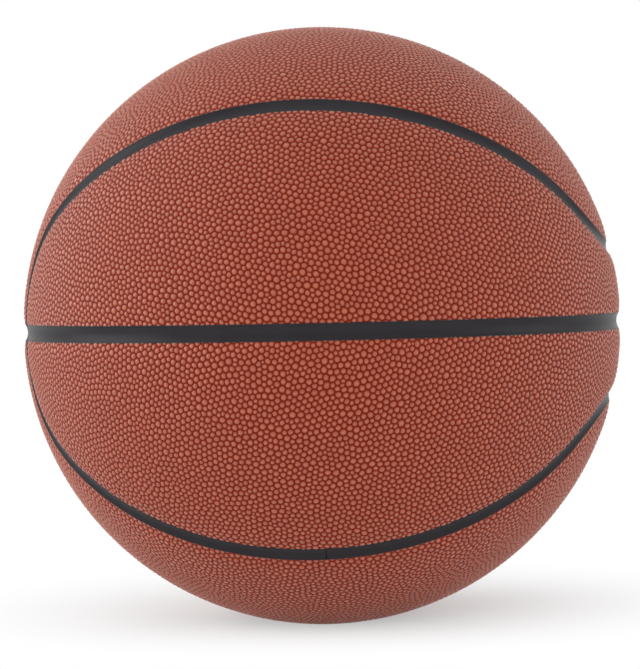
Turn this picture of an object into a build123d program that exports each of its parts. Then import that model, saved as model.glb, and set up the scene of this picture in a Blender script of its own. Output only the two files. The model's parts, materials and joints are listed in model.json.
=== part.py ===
from build123d import *

import os
from math import acos, atan, cos, degrees, radians, sin, sqrt, tan

# A size 7 basketball, inflated: eight cover panels glued between the ribs of a rubber carcass, with a
# thread winding, a bladder and a plug valve inside. Two straight channels run right round the ball and
# cross at its poles. One closed curved channel winds between them, as the seam of a tennis ball does.
# The origin is the ball's centre, X runs through the poles, Y points away from the front and Z is up.

os.makedirs("parts", exist_ok=True)

# Driving dimensions, in mm and degrees

ball_diameter = 242.0  # 760 mm round
waist_angle = 13.8  # from a pole to where the curved channel crosses a straight one

channel_width = 6.35
channel_depth = 1.3  # from the crown of the panels to the channel's floor

cover_thickness = 1.8
edge_drop = 0.75  # how far a panel falls at its edge
edge_width = 6.5  # over which it falls
edge_bulge = 0.13  # rise of that rounded edge over a straight bevel
edge_overcut = 0.05  # how far the edge's arc runs out past the crown, so that it meets it at a slight angle

carcass_thickness = 1.0
winding_thickness = 0.5
bladder_thickness = 0.8
bond_gap = 0.05  # the glue line between layers

valve_lift = 14.0  # angle of the valve above the level channel, at the back
valve_recess = 0.5  # from the crown of the panels to the valve's face
needle_radius = 1.0
needle_depth = 11.0
plug_wall = 1.6  # round the needle's hole
plug_sole = 4.0  # below it, closed by a slit
plug_taper_length = 3.0
plug_taper_inset = 0.8
plug_head_thickness = 1.5
plug_head_overhang = 0.8
plug_clearance = 0.05
neck_wall = 1.05  # round the plug's head
flange_overhang = 7.5
flange_thickness = 1.4
stem_length = 11.5  # of the housing, inward from its flange

# The layers, from the outside in

ball_radius = ball_diameter / 2
cover_inner = ball_radius - cover_thickness
carcass_outer = cover_inner - bond_gap
carcass_inner = carcass_outer - carcass_thickness
winding_outer = carcass_inner - bond_gap
winding_inner = winding_outer - winding_thickness
bladder_outer = winding_inner - bond_gap
bladder_inner = bladder_outer - bladder_thickness
flange_outer = bladder_inner - bond_gap
flange_inner = flange_outer - flange_thickness
cut_margin = 2.0  # how far a cutter runs past what it cuts

# The curved channel: straight runs on the diagonals between the two straight channels, each ending in a
# turn, an arc round a centre above, below, before or behind a pole, that is tangent to the run

waist = radians(waist_angle)
turn_radius = atan(sin(waist) / (sqrt(2) - cos(waist)))
turn_centre = waist + turn_radius
run_arc = 2 * degrees(acos(tan(turn_radius)))
turn_arc = degrees(acos(cos(turn_centre) / (sqrt(2) * cos(turn_radius))))

centre = Vector(0, 0, 0)
diagonal = Vector(0, 1, 1).normalized()
right_turn = Vector(cos(turn_centre), 0, sin(turn_centre))
left_turn = Vector(-cos(turn_centre), -sin(turn_centre), 0)
right_tangent = (right_turn - diagonal * sin(turn_radius)).normalized()
left_tangent = (left_turn + diagonal * sin(turn_radius)).normalized()


def section_at(point, across):
    """The plane through the ball's centre that cuts a channel squarely at a point of its run."""
    return Plane(origin=centre, x_dir=point, z_dir=across.cross(point))


# Each stretch: the plane of its cross-section, the axis that it bends round and its arc. The curved ones
# lie in the front upper quarter of the ball, and each turn ends half-way, on the straight channel

curved_stretches = [
    (section_at(right_tangent, -diagonal), Axis(centre, -diagonal), run_arc),
    (section_at(right_tangent, right_turn), Axis(centre, right_turn), turn_arc),
    (section_at(left_tangent, left_turn), Axis(centre, left_turn), turn_arc),
]
straight_stretches = [
    (Plane.XY, Axis.Y, 360),
    (Plane.XY.rotated((90, 0, 0)), Axis.Z, 360),
]


def rib_section(section):
    """A rib of the carcass, cut across, taller than the rib itself, to part the beds of two panels."""
    half = channel_width / 2 - bond_gap
    foot = carcass_outer - cut_margin
    top = ball_radius + 2 * cut_margin
    with BuildSketch(section) as sketch:
        with BuildLine():
            Polyline((foot, -half), (foot, half), (top, half), (top, -half), close=True)
        make_face()
    return sketch.sketch


def channel_section(section):
    """What a channel takes out of the cover, cut across: its slot, and the fall of the panels beside it."""
    half = channel_width / 2
    outer = half + edge_width
    edge_top = sqrt(ball_radius**2 - half**2) - edge_drop
    crown = sqrt(ball_radius**2 - outer**2) + edge_overcut
    foot = cover_inner - cut_margin
    top = ball_radius + cut_margin
    with BuildSketch(section) as sketch:
        with BuildLine():
            Polyline((edge_top, -half), (foot, -half), (foot, half), (edge_top, half))
            SagittaArc((edge_top, half), (crown, outer), -edge_bulge)
            Polyline((crown, outer), (top, outer), (top, -outer), (crown, -outer))
            SagittaArc((crown, -outer), (edge_top, -half), -edge_bulge)
        make_face()
    return sketch.sketch


# The valve's place: a plane square to its axis at the ball's centre, and one that holds the axis

valve_axis = Vector(0, cos(radians(valve_lift)), sin(radians(valve_lift)))
valve_plane = Plane(origin=centre, x_dir=(1, 0, 0), z_dir=valve_axis)
valve_section = Plane(origin=centre, x_dir=(1, 0, 0), z_dir=Vector(1, 0, 0).cross(valve_axis))
valve_top = ball_radius - valve_recess
plug_radius = needle_radius + plug_wall
plug_head_radius = plug_radius + plug_head_overhang
plug_bore_radius = plug_radius + plug_clearance
head_recess_radius = plug_head_radius + plug_clearance
head_underside = valve_top - plug_head_thickness
plug_seat = head_underside - plug_clearance
needle_end = valve_top - needle_depth
plug_foot = needle_end - plug_sole
neck_radius = head_recess_radius + neck_wall
flange_radius = neck_radius + flange_overhang
valve_hole_radius = neck_radius + bond_gap


def height_on(sphere_radius, distance):
    """How high a sphere round the ball's centre stands at a distance from the valve's axis."""
    return sqrt(sphere_radius**2 - distance**2)


def quarter_shell(outer, inner, cross_section):
    """A quarter of a shell, between the straight channels, which the curved channel cuts into two shapes.

    The first of them lies at the top and the second at the front.
    """
    with BuildPart() as quarter:
        with BuildSketch(Plane.XY):
            Circle(outer)
            Circle(inner, mode=Mode.SUBTRACT)
            split(bisect_by=Plane.XZ)
        revolve(axis=-Axis.X, revolution_arc=90)
        for section, axis, arc in curved_stretches + straight_stretches:
            revolve(cross_section(section), axis=axis, revolution_arc=arc, mode=Mode.SUBTRACT)
    return quarter.solids().sort_by(Axis.X)


# The panels: the front upper quarter of the cover holds two, and mirror images of them make the other six

top_shape, front_shape = quarter_shell(ball_radius, cover_inner, channel_section)

with BuildPart() as front_upper_panel:
    add(front_shape)

with BuildPart() as front_lower_panel:
    mirror(front_shape, about=Plane.XY)

with BuildPart() as back_upper_panel:
    mirror(front_shape, about=Plane.XZ)
    with BuildSketch(valve_plane):
        Circle(valve_hole_radius)
    extrude(amount=ball_radius + cut_margin, mode=Mode.SUBTRACT)

with BuildPart() as back_lower_panel:
    add(front_shape.rotate(Axis.X, 180))

with BuildPart() as top_front_panel:
    add(top_shape)

with BuildPart() as top_back_panel:
    mirror(top_shape, about=Plane.XZ)

with BuildPart() as bottom_front_panel:
    mirror(top_shape, about=Plane.XY)

with BuildPart() as bottom_back_panel:
    add(top_shape.rotate(Axis.X, 180))

# The carcass: a rubber shell with a bed for each panel, and between the beds the ribs that show

with BuildPart() as carcass:
    Sphere(ball_radius - channel_depth)
    for bed in quarter_shell(ball_radius + cut_margin, carcass_outer, rib_section):
        add(bed, mode=Mode.SUBTRACT)
        mirror(bed, about=Plane.XY, mode=Mode.SUBTRACT)
        mirror(bed, about=Plane.XZ, mode=Mode.SUBTRACT)
        add(bed.rotate(Axis.X, 180), mode=Mode.SUBTRACT)
    Sphere(carcass_inner, mode=Mode.SUBTRACT)
    with BuildSketch(valve_plane):
        Circle(valve_hole_radius)
    extrude(amount=ball_radius + cut_margin, mode=Mode.SUBTRACT)

# The layers under it, each a shell with the hole for the valve's neck

with BuildPart() as thread_winding:
    Sphere(winding_outer)
    Sphere(winding_inner, mode=Mode.SUBTRACT)
    with BuildSketch(valve_plane):
        Circle(valve_hole_radius)
    extrude(amount=ball_radius + cut_margin, mode=Mode.SUBTRACT)

with BuildPart() as bladder:
    Sphere(bladder_outer)
    Sphere(bladder_inner, mode=Mode.SUBTRACT)
    with BuildSketch(valve_plane):
        Circle(valve_hole_radius)
    extrude(amount=ball_radius + cut_margin, mode=Mode.SUBTRACT)

# The valve: a rubber housing with a flange inside the bladder, and the plug that pushes into it

with BuildPart() as valve_housing:
    flange_middle = (neck_radius + flange_radius) / 2
    stem_end = height_on(flange_inner, neck_radius) - stem_length
    with BuildSketch(valve_section):
        with BuildLine():
            ThreePointArc(
                (neck_radius, height_on(flange_inner, neck_radius)),
                (flange_middle, height_on(flange_inner, flange_middle)),
                (flange_radius, height_on(flange_inner, flange_radius)),
            )
            Line(
                (flange_radius, height_on(flange_inner, flange_radius)),
                (flange_radius, height_on(flange_outer, flange_radius)),
            )
            ThreePointArc(
                (flange_radius, height_on(flange_outer, flange_radius)),
                (flange_middle, height_on(flange_outer, flange_middle)),
                (neck_radius, height_on(flange_outer, neck_radius)),
            )
            Polyline(
                (neck_radius, height_on(flange_outer, neck_radius)),
                (neck_radius, valve_top),
                (head_recess_radius, valve_top),
                (head_recess_radius, plug_seat),
                (plug_bore_radius, plug_seat),
                (plug_bore_radius, stem_end),
                (neck_radius, stem_end),
                (neck_radius, height_on(flange_inner, neck_radius)),
            )
        make_face()
    revolve(axis=Axis(centre, valve_axis))

with BuildPart() as valve_plug:
    with BuildSketch(valve_section):
        with BuildLine():
            Polyline(
                (needle_radius, valve_top),
                (plug_head_radius, valve_top),
                (plug_head_radius, head_underside),
                (plug_radius, head_underside),
                (plug_radius, plug_foot + plug_taper_length),
                (plug_radius - plug_taper_inset, plug_foot),
                (0, plug_foot),
                (0, needle_end),
                (needle_radius, needle_end),
                close=True,
            )
        make_face()
    revolve(axis=Axis(centre, valve_axis))

# Labels and files

pieces = {
    "front_upper_panel": front_upper_panel,
    "front_lower_panel": front_lower_panel,
    "back_upper_panel": back_upper_panel,
    "back_lower_panel": back_lower_panel,
    "top_front_panel": top_front_panel,
    "top_back_panel": top_back_panel,
    "bottom_front_panel": bottom_front_panel,
    "bottom_back_panel": bottom_back_panel,
    "carcass": carcass,
    "thread_winding": thread_winding,
    "bladder": bladder,
    "valve_housing": valve_housing,
    "valve_plug": valve_plug,
}
for name, piece in pieces.items():
    piece.part.label = name
    export_step(piece.part, f"parts/{name}.step")
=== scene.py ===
import json
from math import atan, cos, pi, radians, sin, sqrt

import bmesh
import bpy
import numpy as np
from mathutils import Matrix, Vector
from mathutils.geometry import delaunay_2d_cdt


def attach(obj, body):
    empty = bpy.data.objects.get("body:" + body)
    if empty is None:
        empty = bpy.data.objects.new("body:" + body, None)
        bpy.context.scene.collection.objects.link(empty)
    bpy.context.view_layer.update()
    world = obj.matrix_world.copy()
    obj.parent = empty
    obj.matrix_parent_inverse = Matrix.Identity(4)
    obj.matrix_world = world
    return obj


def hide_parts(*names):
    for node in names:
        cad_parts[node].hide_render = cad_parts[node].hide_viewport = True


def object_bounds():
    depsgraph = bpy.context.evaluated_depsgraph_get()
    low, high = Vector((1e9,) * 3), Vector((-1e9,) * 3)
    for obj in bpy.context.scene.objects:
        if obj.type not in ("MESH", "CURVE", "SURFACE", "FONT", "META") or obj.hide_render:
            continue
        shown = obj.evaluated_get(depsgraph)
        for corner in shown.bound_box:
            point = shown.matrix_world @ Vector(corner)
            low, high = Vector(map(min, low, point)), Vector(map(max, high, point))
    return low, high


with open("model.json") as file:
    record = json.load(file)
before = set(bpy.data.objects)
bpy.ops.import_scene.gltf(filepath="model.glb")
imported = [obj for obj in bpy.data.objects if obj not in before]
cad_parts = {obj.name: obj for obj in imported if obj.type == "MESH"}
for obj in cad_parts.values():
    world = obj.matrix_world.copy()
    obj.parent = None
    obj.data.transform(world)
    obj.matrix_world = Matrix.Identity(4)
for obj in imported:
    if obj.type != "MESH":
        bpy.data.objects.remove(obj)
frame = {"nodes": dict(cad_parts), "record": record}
cad_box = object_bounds()

# A size 7 basketball: eight pebbled cover panels between the black rubber channels of its carcass, and a
# plug valve at the back. X runs through the poles where the straight channels cross, Y away from the
# front and Z up. Lengths are in metres and angles in radians.

MM = 0.001

# The layers and the channels, as the solids have them

crown_radius = 121 * MM
cover_thickness = 1.8 * MM
carcass_thickness = 1.0 * MM
winding_thickness = 0.5 * MM
bladder_thickness = 0.8 * MM
bond_gap = 0.05 * MM  # the glue line between layers
channel_half = 6.35 / 2 * MM
channel_depth = 1.3 * MM
edge_drop = 0.75 * MM  # how far a panel falls at its edge
edge_width = 6.5 * MM  # over which it falls
waist = radians(13.8)  # from a pole to where the curved channel crosses a straight one

cover_inner = crown_radius - cover_thickness
carcass_outer = cover_inner - bond_gap
carcass_inner = carcass_outer - carcass_thickness
bladder_inner = carcass_inner - winding_thickness - bladder_thickness - 2 * bond_gap

# What the solids leave out: the dish of the channels' floor, the rounded corners of the panels and the
# moulded joint of the rubber, which crosses the lower front channel

channel_dish = 0.9 * MM
dish_sunk = 0.6  # how much of the dish lies below the solid's floor
corner_reach = 4 * MM
joint_across = 5.2 * MM
joint_half = 0.4 * MM
joint_core = 0.1 * MM  # half its darkest width
joint_whole = -60 * MM  # in front of this and below it the joint shows
joint_gone = -50 * MM

# The pebbles of the cover

pebble_count = 36500  # over the whole ball
pebble_height = 0.75 * MM
pebble_jitter = 0.55 * MM
pebble_margin = 7 * MM  # how far past the panel's outline they are laid out
pattern_seeds = (11, 23)
settling_rounds = 20
shoulder_share = 0.62  # of the way from a pebble's top to its foot
shoulder_limit = 0.9  # which no shoulder passes
shoulder_height = 0.68  # of the pebble's height
shoulder_roundness = 0.4
crease_height = 0.3  # of the pebble's height, below which its slope is painted darker towards the crease, as painted shade
edge_flattening = 0.6  # how much of their height they lose at a panel's edge
flattened_width = 2.5 * MM
edge_shade_width = 0.45 * MM  # over which painted shade darkens a panel's edge, where it falls into the channel

# How finely the sheets are cut and divided

fine_ball = 6  # divisions of a ball that shows
coarse_ball = 5  # divisions of the carcass's inside
snap_width = 0.06 * MM  # a vertex this near to a cut counts as lying on it
same_spot = 1e-9  # points of the pebbles' flat map this near count as one
rim_step = 0.5 * MM  # between the points of a panel's inner rim
rib_reaches = (9 * MM, 6 * MM)  # from the channels' middle lines
carcass_hole_reaches = (9 * MM,)  # from the valve's axis, as the next two
carcass_inside_reaches = (15 * MM, 9 * MM)
panel_inside_reaches = (9 * MM, 7 * MM)

# The curved channel: a straight run on the diagonal, tangent at each end to a turn round a centre above
# the right pole or in front of the left one

turn_radius = atan(sin(waist) / (sqrt(2) - cos(waist)))
turn_centre = waist + turn_radius
diagonal = Vector((0, 1, 1)).normalized()
right_turn = Vector((cos(turn_centre), 0, sin(turn_centre)))
left_turn = Vector((-cos(turn_centre), -sin(turn_centre), 0))
right_end = diagonal.cross(right_turn).normalized()
left_end = left_turn.cross(diagonal).normalized()

# The valve, at the back, on the axis of the needle's bore

valve_recess = 0.5 * MM  # from the crown of the panels to the valve's face
plug_wall = 1.6 * MM  # round the needle's bore
plug_sole = 4.0 * MM  # below it
plug_taper_length = 3.0 * MM
plug_taper_inset = 0.8 * MM
plug_head_thickness = 1.5 * MM
plug_head_overhang = 0.8 * MM
plug_clearance = 0.05 * MM
neck_wall = 1.05 * MM
flange_overhang = 7.5 * MM
flange_thickness = 1.4 * MM
stem_length = 11.5 * MM
valve_rounding = 0.3 * MM
rounding_steps = 3
turning_steps = 72
funnel_radius = 1.7 * MM  # the mouth that guides the needle
funnel_depth = 0.4 * MM
bare_ring = 1.6 * MM  # round the valve's hole, where the pebbles die out
ring_drop = 0.25 * MM

needle_bore = next(m for m in frame["record"]["mounts"] if m["name"] == "needle_bore")
needle_radius = needle_bore["dims"]["r_mm"] * MM
needle_depth = needle_bore["dims"]["length_mm"] * MM
valve_axis = Vector(needle_bore["axis"]).normalized()
mirrored_valve = valve_axis * Vector((1, -1, 1))  # at the front, where the panels are made
valve_top = crown_radius - valve_recess
needle_end = valve_top - needle_depth
plug_radius = needle_radius + plug_wall
plug_head_radius = plug_radius + plug_head_overhang
plug_bore_radius = plug_radius + plug_clearance
head_recess_radius = plug_head_radius + plug_clearance
neck_radius = head_recess_radius + neck_wall
valve_hole = neck_radius + bond_gap
flange_radius = neck_radius + flange_overhang
flange_outer = bladder_inner - bond_gap
flange_inner = flange_outer - flange_thickness


# Where a point lies among the channels and from the valve. Points are rows of unit vectors from the
# ball's centre, and distances run along the crown of the panels


def unit_rows(places):
    """Places carried to the unit sphere."""
    return places / np.linalg.norm(places, axis=1, keepdims=True)


def directions(verts):
    """The unit vectors from the ball's centre to some vertices, as rows."""
    return unit_rows(np.array([vert.co for vert in verts]))


def angle_from(points, axis):
    """The angle between each point and an axis."""
    return np.arccos(np.clip(points @ np.array(axis), -1, 1))


def before_curve(points):
    """How far points in or near the front upper quarter lie before the curved channel's middle line."""
    run = angle_from(points, diagonal) - pi / 2
    right = angle_from(points, right_turn) - turn_radius
    left = turn_radius - angle_from(points, left_turn)
    at_left = np.where(points @ np.array(left_end) > 0, left, run)
    return crown_radius * np.where(points @ np.array(right_end) > 0, right, at_left)


def rounded_least(first, second):
    """The lesser of two distances, with the corner between them rounded."""
    overlap = np.maximum(corner_reach - np.abs(first - second), 0) / corner_reach
    return np.minimum(first, second) - corner_reach * overlap**2 / 4


def inside_outline(points, curve):
    """How far points lie inside the straight channels and a given distance from the curved one."""
    level = crown_radius * np.arcsin(np.clip(points[:, 2], -1, 1))
    upright = crown_radius * np.arcsin(np.clip(-points[:, 1], -1, 1))
    return rounded_least(rounded_least(level, upright), curve)


def inside_panel(points):
    """How far points lie from the channels' middle lines, inside the front upper panel."""
    return inside_outline(points, before_curve(points))


def from_channel(points):
    """How far points anywhere on the ball lie from the nearest channel's middle line."""
    folded = np.column_stack([points[:, 0], -np.abs(points[:, 1]), np.abs(points[:, 2])])
    return inside_outline(folded, np.abs(before_curve(folded)))


def from_valve(points):
    """How far points lie from the valve's axis."""
    return crown_radius * angle_from(points, valve_axis)


def from_mirrored_valve(points):
    """How far points lie from where the valve would be at the front."""
    return crown_radius * angle_from(points, mirrored_valve)


# Cutting and joining meshes on the sphere


def split_along(bm, distance, level, sharp=True):
    """Puts a line of edges where a distance reaches a level, and returns the vertices short of it."""
    verts = bm.verts[:]
    short = level - distance(directions(verts))
    short[np.abs(short) < snap_width] = 0
    value = dict(zip(verts, short.tolist()))
    line = [vert for vert in verts if value[vert] == 0]
    for edge in bm.edges[:]:
        start, end = edge.verts
        if value[start] * value[end] < 0:
            share = value[start] / (value[start] - value[end])
            line.append(bmesh.utils.edge_split(edge, start, share)[1])
    bmesh.ops.connect_verts(bm, verts=line)
    line = set(line)
    for edge in bm.edges:
        if sharp and line.issuperset(edge.verts):
            edge.smooth = False
    return [vert for vert in verts if value[vert] > 0]


def trim(bm, distance, level):
    """Cuts away what lies short of a level."""
    bmesh.ops.delete(bm, geom=split_along(bm, distance, level), context="VERTS")


def refine(bm, distance, reaches):
    """Divides the faces within each reach once more."""
    for reach in reaches:
        verts = bm.verts[:]
        near = {vert for vert, far in zip(verts, distance(directions(verts)).tolist()) if far < reach}
        edges = [edge for edge in bm.edges if near.issuperset(edge.verts)]
        bmesh.ops.subdivide_edges(bm, edges=edges, cuts=1, use_grid_fill=True)


def open_rims(bm):
    """The edges with a face on one side only."""
    return [edge for edge in bm.edges if edge.is_boundary]


def even_rims(bm, step):
    """Divides the edges of a sheet's rims into lengths of about a step."""
    rims = open_rims(bm)
    cuts = [round(edge.calc_length() / step) - 1 for edge in rims]
    for count in sorted(set(cuts)):
        if count > 0:
            edges = [edge for edge, own in zip(rims, cuts) if own == count]
            bmesh.ops.bisect_edges(bm, edges=edges, cuts=count)


def inner_sheet(divisions):
    """A ball of unit size whose faces point inwards."""
    bm = bmesh.new()
    bmesh.ops.create_icosphere(bm, subdivisions=divisions, radius=1)
    bmesh.ops.reverse_faces(bm, faces=bm.faces[:])
    return bm


def add_sheet(bm, sheet, radius):
    """Puts another sheet at its radius, adds it to this mesh and ends it."""
    for vert in sheet.verts:
        vert.co = vert.co.normalized() * radius
    mesh = bpy.data.meshes.new("added")
    sheet.to_mesh(mesh)
    sheet.free()
    bm.from_mesh(mesh)
    bpy.data.meshes.remove(mesh)


def bridge_rims(bm, valve_direction):
    """Joins the rims of two sheets, those round the valve apart from the others."""
    at_valve = []
    apart = []
    for edge in open_rims(bm):
        if crown_radius * edge.verts[0].co.angle(valve_direction) < 2 * valve_hole:
            at_valve.append(edge)
        else:
            apart.append(edge)
    for pair in (at_valve, apart):
        if pair:
            bmesh.ops.bridge_loops(bm, edges=pair)


def smooth(bm):
    """Shades every face as part of a curve."""
    for face in bm.faces:
        face.smooth = True


# The pebbled panels, all made as the front upper one


def triangles_between(points):
    """The triangles between neighbouring points, found on a flat map that keeps circles round."""
    middle = Vector(points.mean(axis=0)).normalized()
    across = middle.orthogonal().normalized()
    along = middle.cross(across)
    flat = points @ np.array([across, along]).T / (1 + points @ np.array(middle))[:, None]
    spots = [Vector(spot) for spot in flat.tolist()]
    return np.array(delaunay_2d_cdt(spots, [], [], 0, same_spot)[2])


def settled(points, loose):
    """The points, of which each loose one has moved to the middle of the triangles round it."""
    triangles = triangles_between(points)
    first, second, third = (points[triangles[:, corner]] for corner in range(3))
    area = np.linalg.norm(np.cross(second - first, third - first), axis=1, keepdims=True)
    middle = unit_rows(first + second + third)
    total = np.zeros_like(points)
    weight = np.zeros((len(points), 1))
    for corner in range(3):
        np.add.at(total, triangles[:, corner], area * middle)
        np.add.at(weight, triangles[:, corner], area)
    moved = points.copy()
    moved[loose] = unit_rows(total[loose] / weight[loose])
    return moved


def pebble_tops(chance):
    """Even but irregular points over the panel and a margin round it, from a spiral over the ball."""
    step = np.arange(pebble_count) + 0.5
    height = 1 - 2 * step / pebble_count
    around = step * pi * (3 - sqrt(5))
    ring = np.sqrt(1 - height**2)
    points = np.column_stack([ring * np.cos(around), ring * np.sin(around), height])
    points = unit_rows(points + chance.normal(0, pebble_jitter / crown_radius, points.shape))
    points = points[inside_panel(points) > -pebble_margin]
    loose = inside_panel(points) > -pebble_margin / 2
    for _ in range(settling_rounds):
        points = settled(points, loose)
    return points


def halved(bm, edges):
    """Splits edges in the middle, and returns the new vertices."""
    known = len(bm.verts)
    bmesh.ops.subdivide_edges(bm, edges=edges, cuts=1)
    return bm.verts[:][known:]


def lay_creases(bm, count):
    """Puts the foot of the pebbles at each triangle's middle and half-way between neighbouring middles."""
    borders = bm.edges[:]
    bmesh.ops.poke(bm, faces=bm.faces[:])
    corners = len(bm.verts)
    halved(bm, borders)
    bmesh.ops.connect_verts(bm, verts=bm.verts[:][count:])
    tops = set(bm.verts[:][:count])
    for middle in bm.verts[:][corners:]:
        ends = [edge.other_vert(middle) for edge in middle.link_edges]
        ends = [end.co for end in ends if end not in tops]
        if len(ends) == 2:
            middle.co = (ends[0] + ends[1]) / 2


def round_shoulders(bm, count):
    """Gives each pebble a ring of shoulders between its top and its foot, drawn out towards a round."""
    slopes = [edge for top in bm.verts[:][:count] for edge in top.link_edges]
    bmesh.ops.connect_verts(bm, verts=halved(bm, slopes))
    relief = bm.verts.layers.float["relief"]
    tint = bm.verts.layers.float["tint"]
    for top in bm.verts[:][:count]:
        ring = [edge.other_vert(top) for edge in top.link_edges]
        reach = [2 * (vert.co - top.co).length for vert in ring]
        mean = sum(reach) / len(reach)
        top[relief] = 1
        for vert, own in zip(ring, reach):
            radius = shoulder_share * (mean * shoulder_roundness + own * (1 - shoulder_roundness))
            vert.co = top.co + (vert.co - top.co).normalized() * min(radius, own * shoulder_limit)
            vert[relief] = shoulder_height
            vert[tint] = top[tint]


def pebbled_skin(chance):
    """The outside of a panel, flat on the unit sphere. It carries each point's share of a pebble's height,
    each pebble's own tint and how much painted shade darkens the panel's edge."""
    points = pebble_tops(chance)
    bm = bmesh.new()
    for name in ("relief", "tint", "edge_shade"):
        bm.verts.layers.float.new(name)
    tint = bm.verts.layers.float["tint"]
    tops = [bm.verts.new(point) for point in points.tolist()]
    for top, shade in zip(tops, chance.random(len(tops)).tolist()):
        top[tint] = shade
    for triangle in triangles_between(points).tolist():
        bm.faces.new([tops[index] for index in triangle])
    lay_creases(bm, len(points))
    round_shoulders(bm, len(points))
    return bm


def raise_pebbles(bm, with_valve):
    """Lifts a trimmed skin to its real form: pebbles, a fall to the channels and a bare ring at the valve."""
    relief = bm.verts.layers.float["relief"]
    edge_shade = bm.verts.layers.float["edge_shade"]
    verts = bm.verts[:]
    points = directions(verts)
    inside = inside_panel(points) - channel_half
    outside = crown_radius - edge_drop * np.clip(1 - inside / edge_width, 0, 1) ** 2
    pebble = pebble_height * (1 - edge_flattening * np.clip(1 - inside / flattened_width, 0, 1) ** 2)
    # Painted shade along the panel's edge, darkest next to the channel
    edge_shading = np.clip(1 - inside / edge_shade_width, 0, 1)
    if with_valve:
        ring = np.clip(1 - (from_mirrored_valve(points) - valve_hole) / bare_ring, 0, 1)
        outside = outside - ring_drop * ring**2
        for vert, share in zip(verts, ring.tolist()):
            vert[relief] += share * (1 - vert[relief])
    for vert, point, radius, height, dark in zip(
        verts, points.tolist(), outside.tolist(), pebble.tolist(), edge_shading.tolist()
    ):
        vert.co = Vector(point) * (radius - height * (1 - vert[relief]))
        vert[edge_shade] = dark


def drop_edge(bm):
    """Takes a skin's rims down square to the foot of the panel."""
    relief = bm.verts.layers.float["relief"]
    rims = open_rims(bm)
    for edge in rims:
        edge.smooth = False
    for made in bmesh.ops.extrude_edge_only(bm, edges=rims)["geom"]:
        if isinstance(made, bmesh.types.BMVert):
            made.co = made.co.normalized() * (cover_inner + bond_gap)
            made[relief] = 0


def cover_panel(skin, with_valve):
    """A panel: its pebbled outside, falling to the channels, its edge and its smooth inside."""
    bm = skin.copy()
    inner = inner_sheet(fine_ball)
    if with_valve:
        refine(inner, from_mirrored_valve, panel_inside_reaches)
    for sheet in (bm, inner):
        trim(sheet, inside_panel, channel_half)
        if with_valve:
            trim(sheet, from_mirrored_valve, valve_hole)
    even_rims(inner, rim_step / crown_radius)
    split_along(bm, inside_panel, channel_half + edge_shade_width, sharp=False)
    raise_pebbles(bm, with_valve)
    drop_edge(bm)
    add_sheet(bm, inner, cover_inner)
    bridge_rims(bm, mirrored_valve)
    smooth(bm)
    return bm


# Shader maths: a socket that takes part in arithmetic, and the material that it belongs to


class Wire:
    """A value in a material, which plus, minus and times work on."""

    def __init__(self, finish, socket):
        self.finish = finish
        self.socket = socket

    def _with(self, operation, *values):
        return self.finish.add("ShaderNodeMath", {"operation": operation}, dict(enumerate(values)))

    def __add__(self, other):
        return self._with("ADD", self, other)

    def __radd__(self, other):
        return self._with("ADD", other, self)

    def __sub__(self, other):
        return self._with("SUBTRACT", self, other)

    def __rsub__(self, other):
        return self._with("SUBTRACT", other, self)

    def __mul__(self, other):
        return self._with("MULTIPLY", self, other)

    def __rmul__(self, other):
        return self._with("MULTIPLY", other, self)


class Finish:
    """A material, or the world, in the making."""

    def __init__(self, owner):
        self.owner = owner
        owner.use_nodes = True
        self.tree = owner.node_tree
        self.tree.nodes.clear()

    def add(self, kind, settings, inputs, output=0):
        """Adds a node with its settings, then the values or links of its sockets, and returns an output."""
        node = self.tree.nodes.new(kind)
        for key, value in settings.items():
            setattr(node, key, value)
        for key, value in inputs.items():
            if isinstance(value, Wire):
                self.tree.links.new(value.socket, node.inputs[key])
            else:
                node.inputs[key].default_value = value
        return Wire(self, node.outputs[output]) if len(node.outputs) else None

    def place(self):
        """Where a point lies on the object."""
        return self.add("ShaderNodeTexCoord", {}, {}, "Object")

    def parts(self, vector):
        """A vector's three numbers."""
        return [self.add("ShaderNodeSeparateXYZ", {}, {0: vector}, letter) for letter in "XYZ"]

    def attribute(self, name):
        """A number that the mesh carries."""
        return self.add("ShaderNodeAttribute", {"attribute_name": name}, {}, "Fac")

    def noise(self, scale, detail):
        """Soft mottling, scale spots to the metre."""
        inputs = {"Vector": self.place(), "Scale": scale, "Detail": detail}
        return self.add("ShaderNodeTexNoise", {}, inputs, "Fac")

    def ease(self, value, low, high, least=0.0, most=1.0):
        """A value between low and high carried over, eased, to least and most."""
        settings = {"interpolation_type": "SMOOTHSTEP"}
        inputs = {"Value": value, 1: low, 2: high, 3: least, 4: most}
        return self.add("ShaderNodeMapRange", settings, inputs)

    def blend(self, share, first, second):
        """A colour between two."""
        inputs = {0: share, 6: first, 7: second}
        return self.add("ShaderNodeMix", {"data_type": "RGBA"}, inputs, 2)

    def bump(self, height, depth):
        """A normal roughened by a height, in metres at full strength."""
        return self.add("ShaderNodeBump", {}, {"Height": height, "Distance": depth})

    def surface(self, inputs):
        """The shader itself, linked to the output."""
        shader = self.add("ShaderNodeBsdfPrincipled", {}, inputs)
        self.add("ShaderNodeOutputMaterial", {}, {"Surface": shader})
        return self.owner


def srgb(red, green, blue):
    """A colour as a screen shows it, made linear."""
    parts = [part / 255 for part in (red, green, blue)]
    return [part / 12.92 if part <= 0.04045 else ((part + 0.055) / 1.055) ** 2.4 for part in parts] + [1.0]


# The finishes


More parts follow.
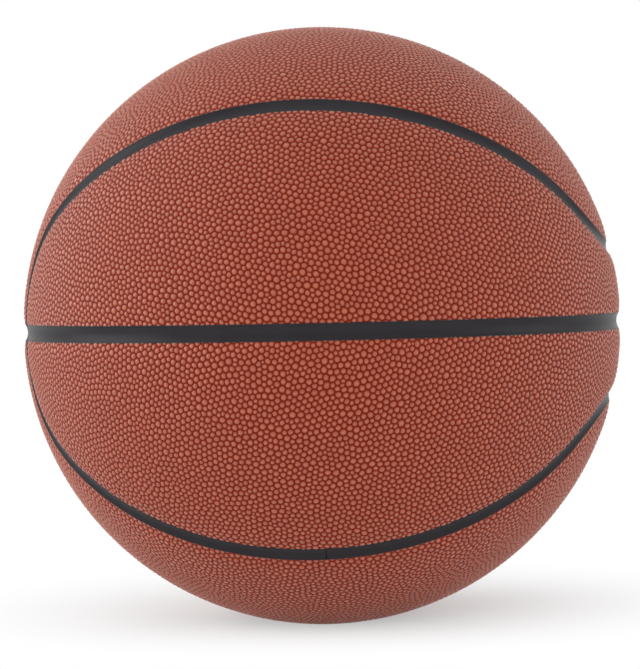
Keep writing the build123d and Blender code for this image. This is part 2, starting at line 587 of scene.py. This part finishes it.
def pebbled_cover():
    """Reddish-brown composite leather with a fine grain: pebble tops that vary at random between a dull and a
    worn tone, slopes painted darker down to deep red creases as painted shade, and panel edges darkened by
    painted shade.
    """
    crease_shade = srgb(88, 9, 0)
    slope_shade = srgb(128, 36, 10)
    dull_top = srgb(154, 70, 38)
    worn_top = srgb(167, 81, 47)
    edge_shade_colour = srgb(34, 24, 24)
    pale_bloom = srgb(255, 236, 226)
    finish = Finish(bpy.data.materials.new("pebbled_cover"))
    relief = finish.attribute("relief")
    tint = finish.attribute("tint")
    edge_shade = finish.attribute("edge_shade")
    mottle = finish.noise(30, 4)
    grain = finish.noise(2600, 2)
    uneven = finish.ease(tint * 0.6 + mottle * 0.4, 0.2, 0.8)
    top = finish.blend(uneven, dull_top, worn_top)
    # Painted shade in the creases: by its height, each point goes from a deep red crease through a darker
    # slope to the top's colour
    slope = finish.blend(finish.ease(relief, 0.0, crease_height), crease_shade, slope_shade)
    height = finish.ease(relief, crease_height, 1.0)
    cover = finish.blend(height, slope, top)
    return finish.surface(
        {
            # Painted shade darkens the panels' edges next to the channels
            "Base Color": finish.blend(edge_shade, cover, edge_shade_colour),
            "Roughness": 0.7 - 0.15 * height + 0.08 * grain,
            "Normal": finish.bump(grain, 0.03 * MM),
            "Coat Weight": height,
            "Coat Roughness": 0.45,
            "Coat IOR": 1.8,
            "Specular IOR Level": 0.22,
            "Sheen Weight": 0.33,
            "Sheen Roughness": 0.4,
            "Sheen Tint": pale_bloom,
        }
    )


def channel_rubber():
    """Smooth satin black rubber, with a darker line at its moulded joint."""
    dark_rubber = srgb(39, 37, 40)
    pale_rubber = srgb(47, 45, 48)
    joint_black = srgb(20, 19, 21)
    finish = Finish(bpy.data.materials.new("channel_rubber"))
    mottle = finish.noise(60, 4)
    grain = finish.noise(3000, 2)
    across, behind, above = finish.parts(finish.place())
    offset = across - joint_across
    joint = finish.ease(offset * offset, joint_core**2, joint_half**2, 1.0, 0.0)
    in_front = finish.ease(behind, joint_whole, joint_gone, 1.0, 0.0)
    low = finish.ease(above, joint_whole, joint_gone, 1.0, 0.0)
    rubber = finish.blend(mottle, dark_rubber, pale_rubber)
    return finish.surface(
        {
            "Base Color": finish.blend(joint * (in_front * low), rubber, joint_black),
            "Roughness": 0.28 + 0.1 * mottle,
            "Normal": finish.bump(grain, 0.01 * MM),
            "Specular IOR Level": 0.08,
        }
    )


def soft_rubber(name, dark, pale, roughness):
    """Moulded valve or bladder rubber, a little uneven."""
    finish = Finish(bpy.data.materials.new(name))
    mottle = finish.noise(400, 3)
    return finish.surface(
        {
            "Base Color": finish.blend(mottle, dark, pale),
            "Roughness": roughness + 0.1 * mottle,
            "Normal": finish.bump(mottle, 0.02 * MM),
        }
    )


def wound_thread():
    """Nylon thread laid round the bladder in many directions."""
    shaded_thread = srgb(176, 170, 156)
    pale_thread = srgb(226, 222, 210)
    finish = Finish(bpy.data.materials.new("wound_thread"))
    strands = finish.add(
        "ShaderNodeTexWave",
        {"bands_direction": "DIAGONAL"},
        {"Vector": finish.place(), "Scale": 420.0, "Distortion": 6.0, "Detail": 1.0},
        "Fac",
    )
    return finish.surface(
        {
            "Base Color": finish.blend(strands, shaded_thread, pale_thread),
            "Roughness": 0.75 - 0.1 * strands,
            "Normal": finish.bump(strands, 0.1 * MM),
        }
    )


# Putting the pieces in the scene


def shown(bm, name, material, body, node):
    """Makes a finished mesh a piece that stands for a CAD node and rides on a body, and ends the mesh."""
    mesh = bpy.data.meshes.new(name)
    bm.to_mesh(mesh)
    bm.free()
    mesh.materials.append(material)
    piece = bpy.data.objects.new(name, mesh)
    bpy.context.scene.collection.objects.link(piece)
    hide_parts(node)
    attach(piece, body)


def add_cover():
    """The eight panels: two pebble patterns, of which one is turned and the other mirrored round the ball."""
    lengthwise = Matrix.Rotation(pi, 4, "X")
    to_top = Matrix.Rotation(pi, 4, Vector((0, 1, -1)))
    flip_level = Matrix.Scale(-1, 4, Vector((0, 0, 1)))
    flip_upright = Matrix.Scale(-1, 4, Vector((0, 1, 0)))
    turned_places = {
        "front_upper": Matrix.Identity(4),
        "top_front": to_top,
        "back_lower": lengthwise,
        "bottom_back": lengthwise @ to_top,
    }
    mirrored_places = {
        "front_lower": flip_level,
        "top_back": flip_upright @ to_top,
        "bottom_front": flip_level @ to_top,
        "back_upper": flip_upright,
    }
    finish = pebbled_cover()
    for seed, places in zip(pattern_seeds, (turned_places, mirrored_places)):
        skin = pebbled_skin(np.random.default_rng(seed))
        for name, place in places.items():
            bm = cover_panel(skin, with_valve=name == "back_upper")
            bmesh.ops.transform(bm, matrix=place, verts=bm.verts[:])
            if place.determinant() < 0:
                bmesh.ops.reverse_faces(bm, faces=bm.faces[:])
            shown(bm, f"pebbled_{name}", finish, "ball", f"{name}_panel")
        skin.free()


def add_carcass():
    """The rubber carcass, whose ribs are the channels."""
    bm = bmesh.new()
    bmesh.ops.create_icosphere(bm, subdivisions=fine_ball, radius=1)
    refine(bm, from_channel, rib_reaches)
    refine(bm, from_valve, carcass_hole_reaches)
    rib_half = channel_half - bond_gap
    split_along(bm, from_channel, rib_half)
    split_along(bm, from_channel, rib_half + 2 * snap_width)
    trim(bm, from_valve, valve_hole)
    verts = bm.verts[:]
    points = directions(verts)
    across = from_channel(points) / rib_half
    floor = crown_radius - channel_depth - channel_dish * (dish_sunk - np.minimum(across, 1) ** 2)
    radius = np.where(across > 1 + snap_width / rib_half, carcass_outer, floor)
    for vert, point, outside in zip(verts, points.tolist(), radius.tolist()):
        vert.co = Vector(point) * outside
    inner = inner_sheet(coarse_ball)
    refine(inner, from_valve, carcass_inside_reaches)
    trim(inner, from_valve, valve_hole)
    add_sheet(bm, inner, carcass_inner)
    bridge_rims(bm, valve_axis)
    smooth(bm)
    shown(bm, "ribbed_carcass", channel_rubber(), "ball", "carcass")


def turned(profile, closed):
    """A piece turned on the valve's axis from a profile of distances from it and from the ball's centre."""
    bm = bmesh.new()
    corners = [bm.verts.new((across, 0, along)) for across, along in profile]
    ends = corners[1:] + corners[:1] if closed else corners[1:]
    for pair in zip(corners, ends):
        bm.edges.new(pair)
    bmesh.ops.bevel(
        bm,
        geom=[corner for corner in corners if corner.co.x > 0],
        offset=valve_rounding,
        affect="VERTICES",
        segments=rounding_steps,
        profile=0.5,
        material=-1,
    )
    bmesh.ops.spin(
        bm,
        geom=bm.verts[:] + bm.edges[:],
        cent=(0, 0, 0),
        axis=(0, 0, 1),
        angle=2 * pi,
        steps=turning_steps,
        use_merge=True,
    )
    bmesh.ops.remove_doubles(bm, verts=bm.verts[:], dist=valve_rounding / 100)
    bmesh.ops.recalc_face_normals(bm, faces=bm.faces[:])
    turn = Vector((0, 0, 1)).rotation_difference(valve_axis).to_matrix().to_4x4()
    bmesh.ops.transform(bm, matrix=turn, verts=bm.verts[:])
    smooth(bm)
    return bm


def on_sphere(radius, across):
    """A profile's point on a sphere round the ball's centre."""
    return across, sqrt(radius**2 - across**2)


def add_housing():
    """The valve's housing, with its flange inside the bladder."""
    middle = (neck_radius + flange_radius) / 2
    seat = valve_top - plug_head_thickness - plug_clearance
    stem_end = on_sphere(flange_inner, neck_radius)[1] - stem_length
    profile = [
        on_sphere(flange_outer, neck_radius),
        (neck_radius, valve_top),
        (head_recess_radius, valve_top),
        (head_recess_radius, seat),
        (plug_bore_radius, seat),
        (plug_bore_radius, stem_end),
        (neck_radius, stem_end),
        on_sphere(flange_inner, neck_radius),
        on_sphere(flange_inner, middle),
        on_sphere(flange_inner, flange_radius),
        on_sphere(flange_outer, flange_radius),
        on_sphere(flange_outer, middle),
    ]
    rubber = soft_rubber("valve_rubber", srgb(30, 29, 30), srgb(40, 39, 40), 0.5)
    shown(turned(profile, True), "turned_housing", rubber, "ball", "valve_housing")


def add_plug():
    """The plug that the needle goes through."""
    head_underside = valve_top - plug_head_thickness
    foot = needle_end - plug_sole
    profile = [
        (0, needle_end),
        (needle_radius, needle_end),
        (needle_radius, valve_top - funnel_depth),
        (funnel_radius, valve_top),
        (plug_head_radius, valve_top),
        (plug_head_radius, head_underside),
        (plug_radius, head_underside),
        (plug_radius, foot + plug_taper_length),
        (plug_radius - plug_taper_inset, foot),
        (0, foot),
    ]
    rubber = soft_rubber("plug_rubber", srgb(38, 37, 38), srgb(50, 48, 49), 0.45)
    shown(turned(profile, False), "turned_plug", rubber, "plug", "valve_plug")


def finish_inside():
    """Finishes for the two layers that no one sees from outside."""
    layers = {
        "thread_winding": wound_thread(),
        "bladder": soft_rubber("bladder_rubber", srgb(30, 30, 31), srgb(42, 42, 43), 0.5),
    }
    for name, material in layers.items():
        node = frame["nodes"][name]
        node.data.materials.clear()
        node.data.materials.append(material)


add_cover()
add_carcass()
add_housing()
add_plug()
finish_inside()

# The studio: the camera, five soft lamps, a white floor and white surroundings

camera_turn = radians(3.76)
camera_lift = radians(1.27)
camera_roll = radians(-1.21)
camera_distance = 1.165
camera_lens = 154.0  # in mm, as its sensor
camera_sensor = 36
ball_right = 0.86 * MM  # where the ball's middle lies from the picture's middle
ball_above = 3.61 * MM

# Each lamp: its place, its width, its power in watts and whether it is mirrored
lamps = {
    "overhead": ((0, -0.8, 1.3), 1.0, 3, True),
    "left": ((-1.5, -0.25, 0.55), 1.2, 15.5, True),
    "right": ((1.6, -0.2, 0.2), 1.2, 9, True),
    "front": ((0, -1.9, 0.02), 0.25, 13.4, False),
    "back": ((0.5, 1.7, 0.8), 1.2, 9, False),
}

white = (1, 1, 1, 1)
floor_paint = (0.92, 0.92, 0.92, 1)
floor_half = 20
floor_height = cad_box[0][2]
mirrored_floor = 0.5
shadow_behind = 70 * MM  # where the floor is darkest, behind the ball's foot
shadow_start = -30 * MM  # from there outwards the floor pales
shadow_end = 190 * MM
ambient_light = 0.5
dim_front = 0.05  # how bright the surroundings in front are mirrored
pale_behind = 0.8  # how much a direction's part backwards and its part upwards brighten them
pale_above = 0.9
dimmest = -0.1
brightest = 0.8


def add_camera():
    """The camera, at the photograph's viewing angle."""
    level = cos(camera_lift)
    towards = Vector((sin(camera_turn) * level, -cos(camera_turn) * level, sin(camera_lift)))
    turn = (-towards).to_track_quat("-Z", "Y").to_matrix().to_4x4() @ Matrix.Rotation(camera_roll, 4, "Z")
    aim = turn @ Vector((-ball_right, -ball_above, 0))
    data = bpy.data.cameras.new("camera")
    data.lens = camera_lens
    data.sensor_width = camera_sensor
    camera = bpy.data.objects.new("camera", data)
    camera.matrix_world = Matrix.Translation(towards * camera_distance + aim) @ turn
    bpy.context.scene.collection.objects.link(camera)
    bpy.context.scene.camera = camera


def add_lamp(name, place, width, power, mirrored):
    """A soft square lamp aimed at the ball. One that isn't mirrored leaves no highlight."""
    data = bpy.data.lights.new(name, "AREA")
    data.energy = power
    data.size = width
    lamp = bpy.data.objects.new(name, data)
    lamp.location = place
    lamp.rotation_euler = (-Vector(place)).to_track_quat("-Z", "Y").to_euler()
    lamp.visible_glossy = mirrored
    bpy.context.scene.collection.objects.link(lamp)


def ray_kinds(finish):
    """One for rays from the camera, for mirrored rays and for those that pass through glass."""
    kinds = ("Is Camera Ray", "Is Glossy Ray", "Is Transmission Ray")
    return [finish.add("ShaderNodeLightPath", {}, {}, kind) for kind in kinds]


def white_floor():
    """Matt white paint, which the camera sees as pure white away from the ball's shadow."""
    finish = Finish(bpy.data.materials.new("white_floor"))
    matt = finish.add("ShaderNodeBsdfDiffuse", {}, {"Color": floor_paint})
    pure = finish.add("ShaderNodeEmission", {}, {"Color": white, "Strength": 1.0})
    darkest = (0, shadow_behind, floor_height)
    between = {0: finish.place(), 1: darkest}
    away = finish.add("ShaderNodeVectorMath", {"operation": "DISTANCE"}, between, "Value")
    share = finish.ease(away, shadow_start, shadow_end)
    camera, glossy, transmission = ray_kinds(finish)
    seen = share * (camera + mirrored_floor * (glossy + transmission))
    paled = finish.add("ShaderNodeMixShader", {}, {0: seen, 1: matt, 2: pure})
    finish.add("ShaderNodeOutputMaterial", {}, {"Surface": paled})
    return finish.owner


def add_floor():
    """The floor that the ball stands on, which keeps its shadow."""
    bm = bmesh.new()
    bmesh.ops.create_grid(bm, x_segments=1, y_segments=1, size=floor_half)
    bmesh.ops.translate(bm, verts=bm.verts[:], vec=(0, 0, floor_height))
    mesh = bpy.data.meshes.new("floor")
    bm.to_mesh(mesh)
    bm.free()
    mesh.materials.append(white_floor())
    floor = bpy.data.objects.new("floor", mesh)
    bpy.context.scene.collection.objects.link(floor)


def add_world():
    """Pale light all round. It is seen as white, and mirrored as a white backdrop behind and a dim front."""
    world = bpy.data.worlds.new("studio")
    bpy.context.scene.world = world
    studio = Finish(world)
    camera, glossy, transmission = ray_kinds(studio)
    direction = studio.add("ShaderNodeTexCoord", {}, {}, "Generated")
    _, behind, above = studio.parts(direction)
    mirrored = studio.ease(pale_behind * behind + pale_above * above, dimmest, brightest, dim_front, 1.0)
    direct = camera + transmission
    strength = direct + glossy * mirrored + (1 - direct - glossy) * ambient_light
    light = studio.add("ShaderNodeBackground", {}, {"Color": white, "Strength": strength})
    studio.add("ShaderNodeOutputWorld", {}, {"Surface": light})


add_camera()
for name, settings in lamps.items():
    add_lamp(name, *settings)
add_floor()
add_world()
bpy.context.scene.view_settings.view_transform = "Standard"
